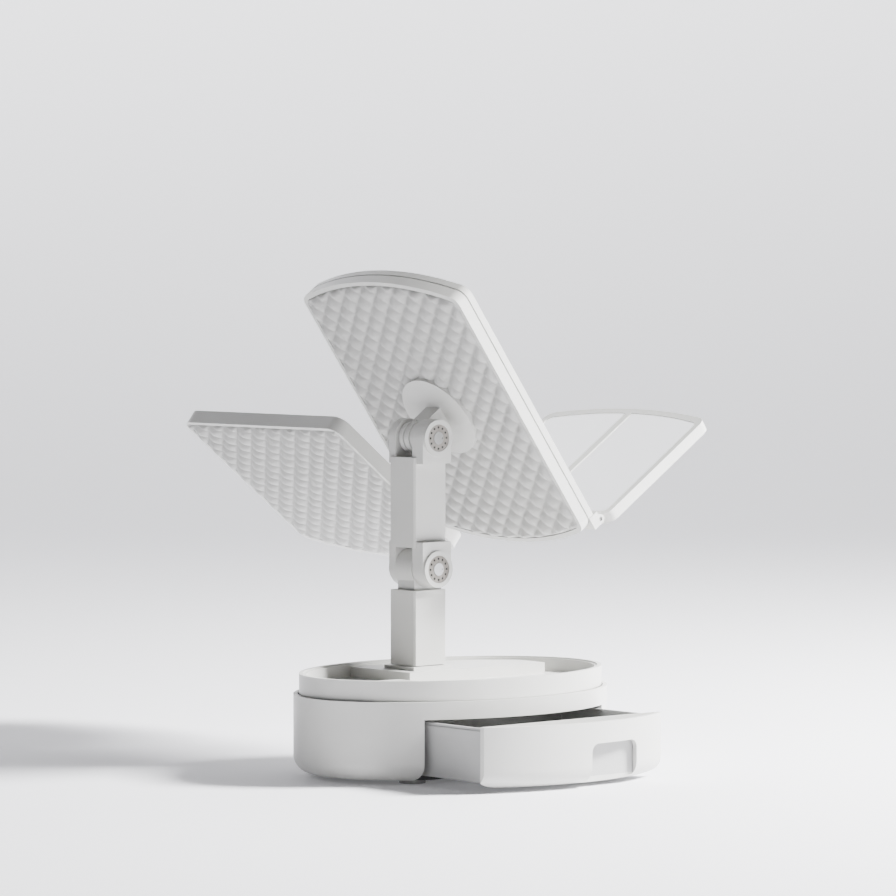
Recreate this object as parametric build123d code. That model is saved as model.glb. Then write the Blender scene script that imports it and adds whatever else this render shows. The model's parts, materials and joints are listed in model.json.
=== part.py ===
from build123d import *
import os
from math import sin, cos, radians

# Folding vanity mirror on an oval storage base. Millimetres, +Z up, drawer side at -Y.
# The origin is the middle of the oval footprint, on the surface it stands on.

RX, RY = 123.0, 87.5          # half axes of the lower body
RIM_INSET = 4.0               # the tray rim steps in by this much
FOOT_H = 3.0
SEAM_Z = 45.0                 # top of the lower body
STEP_Z = 57.0                 # top of the middle band
RIM_Z = 71.0                  # top of the tray rim
BOTTOM_R = 12.0               # rounded bottom edge of the lower body
DRAWER_W = 162.0
DRAWER_OPEN = 60.0            # how far the drawer stands out at rest
NOTCH_W, NOTCH_H, NOTCH_X = 46.0, 27.0, 20.0
COL_Y = 36.0                  # column axis, behind the middle of the base
COL_X2, COL_Y2 = 14.75, 13.5  # half section of the column
ELBOW_Z, HEAD_Z = 139.0, 230.6
CAP_R = 12.75
TILT = 36.0                   # main panel leans back by this much
PANEL_W2, PANEL_L, PANEL_SAG = 83.3, 201.0, 14.0
PANEL_T = 14.0
PIVOT_OFF = 27.2              # pivot behind the panel's back plane
FLAP_L, FLAP_SAG, FLAP_T, FLAP_ANG = 122.0, 9.0, 9.0, 34.0
WING_L, WING_T, WING_ANG, WING_W2 = 146.0, 11.0, 142.0, 89.0
WING_BELOW = 50.0             # wing length below its pivot pin

os.makedirs("parts", exist_ok=True)


def save(name, s):
    if isinstance(s, (list, ShapeList)):
        s = Compound(children=list(s)) if len(s) > 1 else s[0]
    s.label = name
    export_step(s, f"parts/{name}.step")


def bx(x0, x1, y0, y1, z0, z1):
    return Pos((x0 + x1) / 2, (y0 + y1) / 2, (z0 + z1) / 2) * Box(x1 - x0, y1 - y0, z1 - z0)


def oval(inset, z0, z1):
    return Pos(0, 0, z0) * extrude(Ellipse(RX - inset, RY - inset), z1 - z0)


def ycyl(r, x, z, y0, y1):
    return Pos(x, (y0 + y1) / 2, z) * Rot(90, 0, 0) * Cylinder(r, y1 - y0)


def zcyl(r, x, y, z0, z1):
    return Pos(x, y, (z0 + z1) / 2) * Cylinder(r, z1 - z0)


# ---------------------------------------------------------------- base
body = oval(0, FOOT_H, SEAM_Z)
body = fillet(body.edges().sort_by(Axis.Z)[0], BOTTOM_R)
shell = body - oval(13, FOOT_H + 3, 18) - oval(2.6, 18, SEAM_Z)
shell -= oval(13, FOOT_H - 1, FOOT_H + 4)
shell -= bx(-81.4, 81.4, -100, -30, 0, 60)
save("base_shell", shell.solids().sort_by(SortBy.VOLUME)[-1])

plate = oval(13, FOOT_H, FOOT_H + 3) - bx(-200, 200, -100, -58, 0, 20)
save("base_bottom_plate", plate.solid())

side = 82.5
bl = (oval(14, FOOT_H + 3, 17) & bx(side, 130, -45, 45, 0, 17)).solid()
br = (oval(14, FOOT_H + 3, 17) & bx(-130, -side, -45, 45, 0, 17)).solid()
save("ballast_right", bl)
save("ballast_left", br)
rail_r = bx(77.2, 80.2, -50, 44, FOOT_H + 3, 26)
rail_l = bx(-80.2, -77.2, -50, 44, FOOT_H + 3, 26)
save("drawer_runner_right", rail_r)
save("drawer_runner_left", rail_l)
feet = [zcyl(9, x, y, 0, FOOT_H) for x, y in ((-72, -42), (72, -42), (-72, 46), (72, 46))]
save("base_foot", feet)

deck = oval(0, SEAM_Z, STEP_Z) - oval(3, SEAM_Z + 3, STEP_Z)
save("deck_band", deck.solid())

band = oval(RIM_INSET, STEP_Z, RIM_Z) - oval(RIM_INSET + 3, STEP_Z + 2, RIM_Z)
band -= zcyl(12.0, 0, COL_Y, STEP_Z - 1, STEP_Z + 3)
save("tray_rim_band", band.solid())

tray = oval(RIM_INSET + 3, STEP_Z + 2, RIM_Z - 1) - oval(RIM_INSET + 5, STEP_Z + 4, RIM_Z)
island = (oval(RIM_INSET + 4, STEP_Z + 4, RIM_Z - 2.5) & bx(-28, 98, 12, 90, 50, 80))
ledge = (oval(RIM_INSET + 4, STEP_Z + 4, RIM_Z - 6) & bx(-130, -40, -28, 10, 50, 80))
tray = tray + island + ledge
tray -= zcyl(12.0, 0, COL_Y, STEP_Z, RIM_Z)
save("tray", tray.solid())
bush = zcyl(12.0, 0, COL_Y, STEP_Z, RIM_Z - 2.5) - zcyl(8.05, 0, COL_Y, STEP_Z - 1, RIM_Z)
save("swivel_bush", bush.solid())
plinth = bx(-17.5, 17.5, COL_Y - 16, COL_Y + 16, RIM_Z - 2.5, RIM_Z) - zcyl(8.4, 0, COL_Y, RIM_Z - 4, RIM_Z + 1)
save("column_plinth", plinth.solid())

# ---------------------------------------------------------------- drawer (stands open)
dy = -DRAWER_OPEN
front = body & bx(-DRAWER_W / 2, DRAWER_W / 2, -100, -62, 0, SEAM_Z - 0.5)
front -= (oval(3.5, FOOT_H + 4, SEAM_Z + 1) & bx(-DRAWER_W / 2 + 6, DRAWER_W / 2 - 6, -100, -64, 0, 60))
notch = Pos(NOTCH_X, 0, FOOT_H + NOTCH_H - 24) * extrude(Plane.XZ * RectangleRounded(NOTCH_W, 48, 6), 100)
front_n = front - (notch & bx(-100, 100, -100, -77.5, -30, FOOT_H + NOTCH_H))
front_n = front_n.solids().sort_by(SortBy.VOLUME)[-1]
save("drawer_front", Pos(0, dy, 0) * front_n)
grip = bx(NOTCH_X - 24, NOTCH_X + 24, -77.5, -75.7, FOOT_H + 4, FOOT_H + NOTCH_H + 3)
save("drawer_grip_plate", Pos(0, dy, 0) * grip)
box = bx(-76, 76, -62, 30, 6.4, 43) - bx(-74, 74, -60, 28, 8.4, 44)
save("drawer_box", Pos(0, dy, 0) * box.solid())
save("drawer_rail_right", Pos(0, dy, 0) * bx(76, 76.8, -58, 28, 38, 41))
save("drawer_rail_left", Pos(0, dy, 0) * bx(-76.8, -76, -58, 28, 38, 41))
div = bx(-73.9, 73.9, -21, -19.5, 8.4, 34)
save("drawer_divider", Pos(0, dy, 0) * div)

# ---------------------------------------------------------------- column
LUG = 9.1
post = bx(-COL_X2, COL_X2, COL_Y - COL_Y2, COL_Y + COL_Y2, RIM_Z + 0.5, ELBOW_Z - 15)
post = chamfer(post.edges().filter_by(Axis.Z), 1.2)
post += bx(-11, 13.8, COL_Y - 8.7, COL_Y + 8.7, ELBOW_Z - 16, ELBOW_Z)
post += ycyl(13.8, 0, ELBOW_Z, COL_Y - 8.7, COL_Y + 8.7)
post -= ycyl(4.0, 0, ELBOW_Z, COL_Y - 30, COL_Y + 30)
save("lower_post", post.solid())
spin = zcyl(8.0, 0, COL_Y, STEP_Z - 5, RIM_Z + 0.5)
save("swivel_spindle", spin)
wash = zcyl(11.5, 0, COL_Y, STEP_Z - 3.2, STEP_Z - 1.2) - zcyl(8.0, 0, COL_Y, 40, 80)
save("swivel_washer", wash.solid())
nut = Pos(0, COL_Y, STEP_Z - 6.2) * extrude(RegularPolygon(11, 6), 3.0) - zcyl(8.0, 0, COL_Y, 40, 80)
save("swivel_nut", nut.solid())

# ---------------------------------------------------------------- arm
arm = bx(-COL_X2, COL_X2, COL_Y - COL_Y2, COL_Y + COL_Y2, ELBOW_Z + 15, HEAD_Z - 13.6)
arm = chamfer(arm.edges().filter_by(Axis.Z), 1.2)
for y0, y1 in ((COL_Y - 20.4, COL_Y - LUG), (COL_Y + LUG, COL_Y + 16)):
    arm += ycyl(13, 0, ELBOW_Z, y0, y1) + bx(-13, 13, y0, y1, ELBOW_Z, ELBOW_Z + 19)
    arm += ycyl(13, 0, HEAD_Z, y0, y1) + bx(-13, 13, y0, y1, HEAD_Z - 18, HEAD_Z)
arm -= ycyl(14.2, 0, ELBOW_Z, COL_Y - 9.1, COL_Y + 9.1)
arm -= ycyl(4.0, 0, ELBOW_Z, COL_Y - 19, COL_Y + 30)
arm -= ycyl(4.0, 0, HEAD_Z, COL_Y - 19, COL_Y + 30)
save("upper_arm", arm.solid())


def cap(z):
    c = ycyl(CAP_R, 0, z, COL_Y - 22.4, COL_Y - 20.4)
    c -= ycyl(9.6, 0, z, COL_Y - 23, COL_Y - 21.4)
    return c.solid()


def ring(z):
    r = ycyl(9.5, 0, z, COL_Y - 22.0, COL_Y - 21.4) - ycyl(4.5, 0, z, COL_Y - 23, COL_Y - 20)
    for k in range(12):
        a = radians(30 * k)
        r -= ycyl(0.9, 7.4 * cos(a), z + 7.4 * sin(a), COL_Y - 23, COL_Y - 20)
    return r.solid()


def screw(z):
    s = ycyl(4.4, 0, z, COL_Y - 22.4, COL_Y - 21.4)
    s -= bx(-3.4, 3.4, COL_Y - 23, COL_Y - 21.9, z - 0.5, z + 0.5)
    return s.solid()


for nm, z in (("elbow", ELBOW_Z), ("head", HEAD_Z)):
    save(f"{nm}_cap", cap(z))
    save(f"{nm}_grip_ring", ring(z))
    save(f"{nm}_cap_screw", screw(z))
    save(f"{nm}_pin", ycyl(3.95, 0, z, COL_Y - 19, COL_Y + 16))
    save(f"{nm}_far_cap", ycyl(12.0, 0, z, COL_Y + 16, COL_Y + 17.5))

# ---------------------------------------------------------------- head frames
c, s = cos(radians(TILT)), sin(radians(TILT))
nrm = (c, 0, s)
up = (-s, 0, c)
px = HEAD_Z
org = (PIVOT_OFF * c + PANEL_L / 2 * s, COL_Y, HEAD_Z + PIVOT_OFF * s - PANEL_L / 2 * c)
MAIN = Plane(origin=org, x_dir=(0, 1, 0), z_dir=nrm)


def outline(i, w=PANEL_W2, y0=0.0, y1=PANEL_L, sag0=PANEL_SAG, sag1=PANEL_SAG, r=9.0):
    w, y0, y1 = w - i, y0 + i, y1 - i
    if sag0 > 0:
        b = ThreePointArc((-w, y0), (0, y0 - sag0), (w, y0))
    else:
        b = Line((-w, y0), (w, y0))
    if sag1 > 0:
        t = ThreePointArc((w, y1), (0, y1 + sag1), (-w, y1))
    else:
        t = Line((w, y1), (-w, y1))
    f = make_face([b, Line((w, y0), (w, y1)), t, Line((-w, y1), (-w, y0))])
    return fillet(f.vertices(), max(r - i * 0.6, 2.0))


def slab(i, z0, z1, **k):
    return Pos(0, 0, z0) * extrude(outline(i, **k), z1 - z0)


def put(name, s_, pl):
    save(name, [pl.location * k for k in s_] if isinstance(s_, list) else pl.location * s_)


# main panel, from its back plane (0) to its mirror face (PANEL_T)
HZ = PANEL_T + 0.5
PIN_Y, PIN_N = 12.0, 5.4       # the wing's pin, near the panel's far bottom corner
back = slab(0, 0, 8) - slab(3, -1, 1.6) - slab(3, 3.6, 9)
back -= Pos(90, PIN_Y, PIN_N) * Rot(0, 90, 0) * Cylinder(1.5, 40)
put("panel_back_shell", back.solid(), MAIN)
put("panel_quilted_cover", slab(3.2, 0.4, 1.6), MAIN)
bez = slab(1.5, 8, 9.2) + slab(0, 9.2, PANEL_T) - slab(10, 7, PANEL_T + 1)
put("panel_front_bezel", bez.solid(), MAIN)
put("mirror_carrier", slab(10.05, 8.0, 10.5), MAIN)
put("light_diffuser", (slab(10.1, 10.5, PANEL_T - 0.3) - slab(16, 10, PANEL_T + 1)).solid(), MAIN)
put("main_mirror", slab(16.1, 10.5, PANEL_T - 0.5), MAIN)
put("battery_pack", bx(-35, 35, 40, 120, 3.6, 7.9), MAIN)
put("control_board", bx(-30, 30, 135, 165, 3.6, 5.2), MAIN)
put("mount_disc", Pos(0, PANEL_L / 2, -2.0) * Cylinder(32, 4.0), MAIN)
br = bx(-7.5, 7.5, PANEL_L / 2 - 8.5, PANEL_L / 2 + 8.5, -PIVOT_OFF + 4, -4.0)
brk = MAIN.location * br
brk += ycyl(10.9, 0, HEAD_Z, COL_Y - 7.5, COL_Y + 7.5)
for y in (-3.0, 3.0):
    brk -= (ycyl(12, 0, HEAD_Z, COL_Y + y - 0.7, COL_Y + y + 0.7) - ycyl(9.4, 0, HEAD_Z, COL_Y - 30, COL_Y + 30)) & bx(-20, 9, 0, 90, 200, 260)
brk -= ycyl(4.0, 0, HEAD_Z, COL_Y - 30, COL_Y + 30)
save("mirror_bracket", brk.solids().sort_by(SortBy.VOLUME)[-1])

# hinge rod along the bottom corner line of the main panel, carried on in a pin for the wing
HY, HN = -3.0, PANEL_T + 3.8
axis_p = MAIN.from_local_coords(Vector(0, HY, HN))
HX, HZW = axis_p.X, axis_p.Z
# two knuckles at the outer corners of the main panel
kn = []
for x0, x1 in ((-83.3, -72.3), (72.3, 83.3)):
    k = Pos((x0 + x1) / 2, HY, HN) * Rot(0, 90, 0) * Cylinder(3.4, x1 - x0)
    k += bx(x0, x1, HY - 3.2, HY + 6.5, 9.4, HN)
    k -= slab(0, 0, PANEL_T)
    k -= Pos(0, HY, HN) * Rot(0, 90, 0) * Cylinder(1.55, 400)
    kn.append(k.solids().sort_by(SortBy.VOLUME)[-1])
put("hinge_knuckle_near", kn[0], MAIN)
put("hinge_knuckle_far", kn[1], MAIN)
put("hinge_rod", Pos(0, HY, HN) * Rot(0, 90, 0) * Cylinder(1.5, 165), MAIN)
put("wing_pin", Pos(89.0, PIN_Y, PIN_N) * Rot(0, 90, 0) * Cylinder(1.5, 34), MAIN)
wp = MAIN.from_local_coords(Vector(0, PIN_Y, PIN_N))

# ---------------------------------------------------------------- flap
fa = radians(FLAP_ANG)
FL = Plane(origin=(HX, COL_Y, HZW), x_dir=(0, 1, 0), z_dir=(-sin(fa), 0, cos(fa)))
# x_dir x y_dir = z_dir, so the plane's y runs towards the free end with the sign below
ysign = 1 if FL.y_dir.X > 0 else -1


def fl(i, z0, z1, **k):
    a = slab(i, z0, z1, y0=5.0, y1=FLAP_L, sag0=0, sag1=FLAP_SAG, **k)
    return a if ysign > 0 else Rot(0, 0, 180) * a


fb = fl(0, -FLAP_T, -0.9) - fl(3, -FLAP_T - 1, -FLAP_T + 1.4) - (fl(5, -4.4, 0) - bx(-3.2, 3.2, -200, 200, -10, 2))
hk = Rot(0, 90, 0) * Cylinder(3.2, 140) + bx(-70, 70, (0 if ysign > 0 else -8), (8 if ysign > 0 else 0), -4.5, -1.2)
hk -= Rot(0, 90, 0) * Cylinder(1.55, 400)
hk = (hk - fl(0, -FLAP_T, 5)).solids().sort_by(SortBy.VOLUME)[-1]
put("flap_frame", fb.solids().sort_by(SortBy.VOLUME)[-1], FL)
put("flap_hinge_barrel", hk, FL)
m = fl(5.1, -4.4, -1.4)
put("flap_mirror_near", (m & bx(-200, -3.3, -300, 300, -20, 20)).solid(), FL)
put("flap_mirror_far", (m & bx(3.3, 200, -300, 300, -20, 20)).solid(), FL)
q = fl(3.2, -FLAP_T + 0.3, -FLAP_T + 1.4)
put("flap_quilted_cover", q, FL)

# ---------------------------------------------------------------- wing
wa = radians(WING_ANG)
wn = (sin(wa), 0, -cos(wa))
WP = Plane(origin=(wp.X, COL_Y + 83.3 + 8.0 + WING_W2, wp.Z), x_dir=(0, 1, 0), z_dir=wn)
WB = WING_L - WING_BELOW


def wg(i, z0, z1, **k):
    return slab(i, z0, z1, w=WING_W2, y0=-WING_BELOW, y1=WB, sag0=18, sag1=0, **k)


Z0 = -4.6
wf = wg(0, Z0, Z0 + WING_T) - wg(3, Z0 - 1, Z0 + 1.4) - (wg(5, Z0 + WING_T - 3.2, 20) - bx(-3.2, 3.2, -200, 200, -30, 30))
wf -= Pos(-WING_W2, 0, 0) * Rot(0, 90, 0) * Cylinder(1.55, 40)
wf = wf.solids().sort_by(SortBy.VOLUME)[-1]
put("wing_frame", wf, WP)
m = wg(5.1, Z0 + WING_T - 3.2, Z0 + WING_T - 0.4)
put("wing_mirror_inner", (m & bx(-200, -3.3, -300, 300, -20, 20)).solid(), WP)
put("wing_mirror_outer", (m & bx(3.3, 200, -300, 300, -20, 20)).solid(), WP)
put("wing_quilted_cover", wg(3.2, Z0 + 0.3, Z0 + 1.4), WP)
print("wing pin", wp, "hinge axis", HX, HZW, "panel origin", org, "ysign", ysign, "flap ydir", FL.y_dir, "wing y", WP.y_dir)
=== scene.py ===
import bpy, json, math
from mathutils import Vector, Matrix


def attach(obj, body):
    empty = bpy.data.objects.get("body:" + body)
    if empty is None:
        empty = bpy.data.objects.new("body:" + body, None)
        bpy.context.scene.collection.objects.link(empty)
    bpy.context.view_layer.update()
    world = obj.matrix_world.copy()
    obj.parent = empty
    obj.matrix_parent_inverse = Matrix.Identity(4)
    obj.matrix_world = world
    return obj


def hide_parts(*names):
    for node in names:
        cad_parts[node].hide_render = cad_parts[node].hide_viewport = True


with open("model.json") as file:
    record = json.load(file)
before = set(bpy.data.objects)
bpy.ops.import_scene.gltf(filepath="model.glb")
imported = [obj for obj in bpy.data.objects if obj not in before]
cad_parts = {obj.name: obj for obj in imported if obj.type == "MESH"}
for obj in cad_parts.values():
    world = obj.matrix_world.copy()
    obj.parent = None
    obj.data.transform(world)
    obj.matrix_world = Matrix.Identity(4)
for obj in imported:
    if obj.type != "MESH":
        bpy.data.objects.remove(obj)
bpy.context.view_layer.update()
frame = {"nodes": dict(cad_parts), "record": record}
N = frame["nodes"]
sc = bpy.context.scene

# ------------------------------------------------------------------ camera: long lens, nearly level
R = Vector((0.755, -0.656, 0.0)).normalized()
B = Vector((-0.656, -0.755, 0.0)).normalized()
target = Vector((0.0, 0.036, 0.223)) + R * 0.021
pos = target + B * 3.255 + Vector((0, 0, 0.139))
cam = bpy.data.objects.new("cam", bpy.data.cameras.new("cam"))
sc.collection.objects.link(cam)
cam.location = pos
cam.rotation_euler = (target - pos).to_track_quat("-Z", "Y").to_euler()
cam.data.lens = 187.0
cam.data.sensor_width = 36.0
sc.camera = cam


# ------------------------------------------------------------------ materials
def material(name, col, rough, metal=0.0, var=0.03, bump=0.05, scale=900.0, coat=0.0, sub=0.0, kind="noise"):
    m = bpy.data.materials.new(name)
    m.use_nodes = True
    t = m.node_tree
    b = t.nodes["Principled BSDF"]
    b.inputs["Metallic"].default_value = metal
    b.inputs["Coat Weight"].default_value = coat
    b.inputs["Subsurface Weight"].default_value = sub
    co = t.nodes.new("ShaderNodeTexCoord")
    n = t.nodes.new("ShaderNodeTexNoise")
    n.inputs["Scale"].default_value = 35.0
    n.inputs["Detail"].default_value = 4.0
    t.links.new(co.outputs["Object"], n.inputs["Vector"])
    r = t.nodes.new("ShaderNodeValToRGB")
    lo = [max(0.0, c - var) for c in col]
    hi = [min(1.0, c + var) for c in col]
    r.color_ramp.elements[0].color = (*lo, 1)
    r.color_ramp.elements[1].color = (*hi, 1)
    r.color_ramp.elements[0].position = 0.3
    r.color_ramp.elements[1].position = 0.7
    t.links.new(n.outputs["Fac"], r.inputs["Fac"])
    t.links.new(r.outputs["Color"], b.inputs["Base Color"])
    mr = t.nodes.new("ShaderNodeMapRange")
    mr.inputs["To Min"].default_value = max(0.01, rough - 0.05)
    mr.inputs["To Max"].default_value = rough + 0.05
    t.links.new(n.outputs["Fac"], mr.inputs["Value"])
    t.links.new(mr.outputs["Result"], b.inputs["Roughness"])
    if bump > 0:
        if kind == "leather":
            g = t.nodes.new("ShaderNodeTexVoronoi")
            g.inputs["Scale"].default_value = scale
            out = g.outputs["Distance"]
        else:
            g = t.nodes.new("ShaderNodeTexNoise")
            g.inputs["Scale"].default_value = scale
            g.inputs["Detail"].default_value = 2.0
            out = g.outputs["Fac"]
        t.links.new(co.outputs["Object"], g.inputs["Vector"])
        bp = t.nodes.new("ShaderNodeBump")
        bp.inputs["Strength"].default_value = bump
        bp.inputs["Distance"].default_value = 0.0004
        t.links.new(out, bp.inputs["Height"])
        t.links.new(bp.outputs["Normal"], b.inputs["Normal"])
    return m


white = material("white_plastic", (0.60, 0.597, 0.575), 0.36, var=0.012, bump=0.10, scale=1500)
# grey_plastic is white plastic darkened to a greyer white for the drawer box and its pull recess, standing for the
# shade inside the drawer: painted shade
painted_shade_grey = material("grey_plastic", (0.45, 0.45, 0.445), 0.45, var=0.02, bump=0.12, scale=1200)
taupe = material("taupe_plastic", (0.27, 0.25, 0.225), 0.55, var=0.05, bump=0.5, scale=2600)
steel = material("steel", (0.42, 0.42, 0.42), 0.35, metal=1.0, var=0.05, bump=0.1, scale=2200)
leather = material("quilted_leather", (0.46, 0.457, 0.442), 0.46, var=0.015, bump=0.35, scale=1400, kind="leather")
mirror = material("mirror_glass", (0.83, 0.835, 0.83), 0.06, metal=1.0, var=0.01, bump=0.0)
rubber = material("rubber", (0.45, 0.45, 0.44), 0.7, var=0.03, bump=0.3, scale=1800)
diff = material("diffuser", (0.88, 0.88, 0.86), 0.6, var=0.01, bump=0.15, scale=1500, sub=0.05)
dark = material("dark_plastic", (0.03, 0.03, 0.03), 0.6, var=0.01, bump=0.2, scale=1500)
SLOTS = {"white_plastic": white, "grey_plastic": painted_shade_grey, "taupe_plastic": taupe, "steel": steel,
         "ballast_steel": dark, "quilted_cover": leather, "mirror_glass": mirror, "rubber": rubber,
         "diffuser": diff, "dark_plastic": dark}
slot_of = {s["node"]: s["material_slot"] for s in frame["record"]["subparts"]}
for name, o in N.items():
    o.data.materials.clear()
    o.data.materials.append(SLOTS[slot_of[name]])

# ------------------------------------------------------------------ local frames of the panels
mm = 0.001
c, s = math.cos(math.radians(36)), math.sin(math.radians(36))
org = Vector((27.2 * c + 100.5 * s, 36.0, 230.6 + 27.2 * s - 100.5 * c))
X = Vector((0, 1, 0))
MAIN = (org, X, Vector((-s, 0, c)), Vector((c, 0, s)))
hinge = org + MAIN[2] * (-3.0) + MAIN[3] * 17.8
fa = math.radians(34)
FLAP = (hinge, -X, Vector((math.cos(fa), 0, math.sin(fa))), Vector((-math.sin(fa), 0, math.cos(fa))))
wa = math.radians(142)
pin = org + MAIN[2] * 12.0 + MAIN[3] * 5.4
WING = (pin + Vector((0, 83.3 + 8.0 + 89.0, 0)), X, Vector((math.cos(wa), 0, math.sin(wa))), Vector((math.sin(wa), 0, -math.cos(wa))))


def quilt(name, fr, w, y0, y1, sag0, sag1, z, body, node, seam=False):
    """A padded sheet with a diamond pattern of stitched valleys, over its panel's back."""
    o0, ax, ay, az = fr
    nx, ny = int(2 * w / 0.9), int((y1 - y0 + sag0 + sag1) / 0.9)
    P = 17.0

    def pt(u, v, h):
        x = -w + 2 * w * u
        k = 1 - (x / w) ** 2
        a, b = y0 - sag0 * k, y1 + sag1 * k
        return x, a + (b - a) * v, h

    def height(u, v):
        x, y, _ = pt(u, v, 0)
        d1 = abs(math.sin(math.pi * (x + y) / P))
        d2 = abs(math.sin(math.pi * (x - y) / P))
        h = 3.4 * (d1 * d2) ** 0.6
        k = 1 - (x / w) ** 2
        e = min(w - abs(x), y - (y0 - sag0 * k), (y1 + sag1 * k) - y)
        h *= min(1.0, max(0.0, e / 3.0)) ** 0.5
        if seam:
            h *= min(1.0, max(0.0, (abs(x) - 0.3) / 2.0)) ** 0.5
        return h
    vs, fs = [], []
    for j in range(ny + 1):
        for i in range(nx + 1):
            u, v = i / nx, j / ny
            x, y, _ = pt(u, v, 0)
            q = o0 + ax * x + ay * y + az * (z - height(u, v))
            vs.append(q * mm)
    top = len(vs)
    for j in range(ny + 1):
        for i in range(nx + 1):
            x, y, _ = pt(i / nx, j / ny, 0)
            vs.append((o0 + ax * x + ay * y + az * (z + 0.9)) * mm)
    W = nx + 1
    for j in range(ny):
        for i in range(nx):
            a = j * W + i
            fs.append((a, a + W, a + W + 1, a + 1))
            a += top
            fs.append((a, a + 1, a + W + 1, a + W))
    for i in range(nx):
        a, b = i, ny * W + i
        fs.append((a, a + 1, top + a + 1, top + a))
        fs.append((b + 1, b, top + b, top + b + 1))
    for j in range(ny):
        a, b = j * W, j * W + nx
        fs.append((a + W, a, top + a, top + a + W))
        fs.append((b, b + W, top + b + W, top + b))
    me = bpy.data.meshes.new(name)
    me.from_pydata(vs, [], fs)
    me.validate()
    if ax.cross(ay).dot(az) < 0:
        me.flip_normals()
    for p in me.polygons:
        p.use_smooth = True
    me.materials.append(leather)
    ob = bpy.data.objects.new(name, me)
    sc.collection.objects.link(ob)
    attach(ob, body)
    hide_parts(node)
    return ob


quilt("main_quilt", MAIN, 79.9, 3.4, 197.6, 14, 14, 0.5, "head", "panel_quilted_cover")
quilt("flap_quilt", FLAP, 79.9, 8.4, 118.6, 0, 9, -8.4, "flap", "flap_quilted_cover", seam=True)
quilt("wing_quilt", WING, 85.6, -46.6, 92.6, 18, 0, -4.1, "wing", "wing_quilted_cover", seam=True)


# ------------------------------------------------------------------ dots in the round caps
def dots(name, z):
    vs, fs = [], []
    for k in range(12):
        a = math.radians(30 * k)
        cx, cz = 7.4 * math.cos(a), z + 7.4 * math.sin(a)
        n = 16
        base = len(vs)
        for y in (36 - 21.42, 36 - 21.55):
            for i in range(n):
                t = 2 * math.pi * i / n
                vs.append(((cx + 0.86 * math.cos(t)) * mm, y * mm, (cz + 0.86 * math.sin(t)) * mm))
        fs.append(tuple(base + i for i in range(n)))
        fs.append(tuple(base + n + i for i in reversed(range(n))))
        for i in range(n):
            j = (i + 1) % n
            fs.append((base + j, base + i, base + n + i, base + n + j))
    me = bpy.data.meshes.new(name)
    me.from_pydata(vs, [], fs)
    me.materials.append(dark)
    ob = bpy.data.objects.new(name, me)
    sc.collection.objects.link(ob)
    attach(ob, "arm")


dots("elbow_dots", 139.0)
dots("head_dots", 230.6)

# ------------------------------------------------------------------ backdrop, world and lights
vs, fs = [], []
prof = [(-6.0, 0.0), (2.6, 0.0)] + [(2.6 + 1.6 * math.sin(t), 1.6 - 1.6 * math.cos(t)) for t in [math.pi / 2 * k / 16 for k in range(1, 17)]] + [(4.2, 6.0)]
for d, z in prof:
    for w in (-6.0, 6.0):
        q = -B * d + R * w
        vs.append((q.x, q.y, z - 0.00005))
for k in range(len(prof) - 1):
    a = 2 * k
    fs.append((a, a + 1, a + 3, a + 2))
me = bpy.data.meshes.new("backdrop")
me.from_pydata(vs, [], fs)
for p in me.polygons:
    p.use_smooth = True
# the backdrop glows, with emission rising from 0.14 on the floor to 2.3 up the wall: painted light, brighter
# towards the top
back = material("backdrop", (0.90, 0.90, 0.93), 0.9, var=0.002, bump=0.0)
me.materials.append(back)
bt = back.node_tree
bb = bt.nodes["Principled BSDF"]
bc = bt.nodes.new("ShaderNodeTexCoord")
bx = bt.nodes.new("ShaderNodeSeparateXYZ")
bm = bt.nodes.new("ShaderNodeMapRange")
bm.inputs["From Max"].default_value = 0.9
bm.inputs["To Min"].default_value = 0.14
bm.inputs["To Max"].default_value = 2.3
bt.links.new(bc.outputs["Object"], bx.inputs["Vector"])
bt.links.new(bx.outputs["Z"], bm.inputs["Value"])
bt.links.new(bm.outputs["Result"], bb.inputs["Emission Strength"])
bb.inputs["Emission Color"].default_value = (0.97, 0.97, 1.0, 1)
bd = bpy.data.objects.new("backdrop", me)
sc.collection.objects.link(bd)

w = bpy.data.worlds.new("studio")
sc.world = w
w.use_nodes = True
w.node_tree.nodes["Background"].inputs["Color"].default_value = (0.95, 0.96, 1.0, 1)
w.node_tree.nodes["Background"].inputs["Strength"].default_value = 0.06


def area(name, loc, size, power, col=(1, 1, 1)):
    L = bpy.data.lights.new(name, "AREA")
    L.energy, L.size, L.color = power, size, col
    o = bpy.data.objects.new(name, L)
    sc.collection.objects.link(o)
    o.location = loc
    o.rotation_euler = (Vector((0, 0, 0.2)) - Vector(loc)).to_track_quat("-Z", "Y").to_euler()


area("key", R * 1.6 - B * 0.05 + Vector((0, 0, 1.25)), 0.5, 270)
area("back", -B * 1.2 + R * 0.9 + Vector((0, 0, 1.9)), 1.2, 14)
